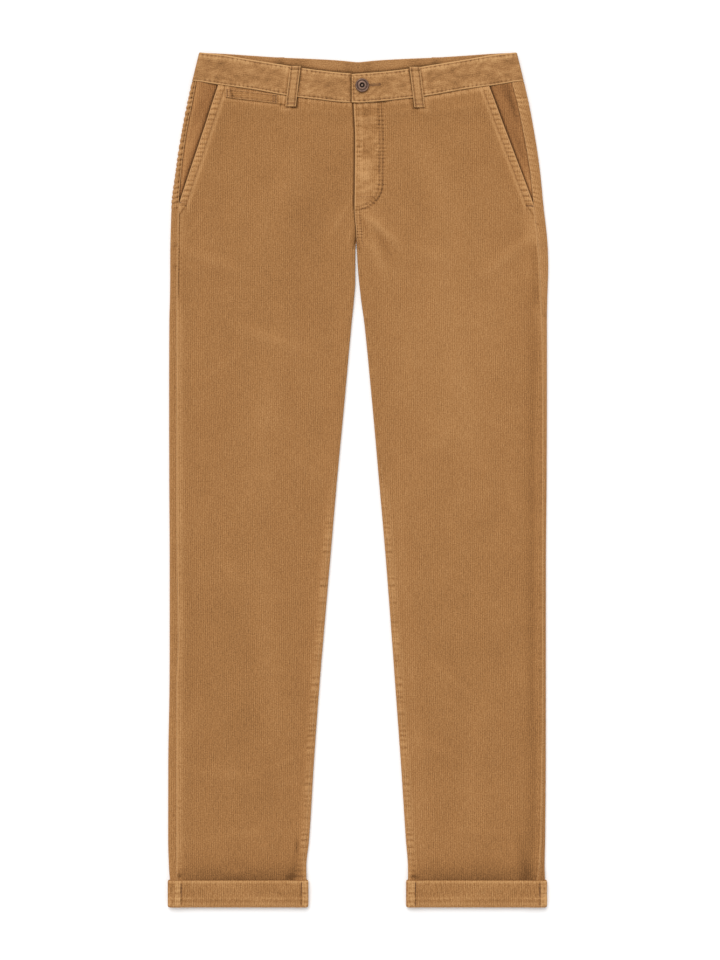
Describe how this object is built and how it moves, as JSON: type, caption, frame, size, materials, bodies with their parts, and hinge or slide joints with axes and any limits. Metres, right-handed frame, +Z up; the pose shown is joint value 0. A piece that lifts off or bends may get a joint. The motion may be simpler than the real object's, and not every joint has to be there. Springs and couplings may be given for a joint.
{
  "type": "corduroy trousers",
  "caption": "Fine-wale corduroy trousers laid flat, front up: chino cut, slanted pockets, belt loops, metal tack button, stitched fly and turned-up cuffs.",
  "frame": {"origin": "under the middle of the whole garment, on the surface it lies on", "axes": "+Y along the legs towards the waist, +X towards the wearer's left, +Z up from the surface, out of the garment's front"},
  "size_m": [0.4716, 1.0598, 0.013],
  "materials": {
    "corduroy": "washed fine-wale cotton corduroy, matt with a soft nap",
    "worn_corduroy": "the same corduroy, paler where folds and edges have rubbed",
    "pocket_corduroy": "the same corduroy, less faded inside the pockets",
    "aged_bronze": "dark antique bronze, satin, rubbed bright on its edges"
  },
  "bodies": {
    "root": {"back_right": "corduroy", "back_left": "corduroy", "yoke_right": "corduroy", "yoke_left": "corduroy", "front_right": "corduroy", "front_left": "corduroy", "pocket_facing_right": "pocket_corduroy", "pocket_facing_left": "pocket_corduroy", "coin_pocket_welt": "corduroy", "waistband_right": "worn_corduroy", "waistband_left": "worn_corduroy", "cuff_right": "worn_corduroy", "cuff_left": "worn_corduroy", "belt_loop_front_right": "worn_corduroy", "belt_loop_front_left": "worn_corduroy", "belt_loop_side_right": "worn_corduroy", "belt_loop_side_left": "worn_corduroy", "belt_loop_back": "worn_corduroy", "button": "aged_bronze"}
  },
  "joints": []
}
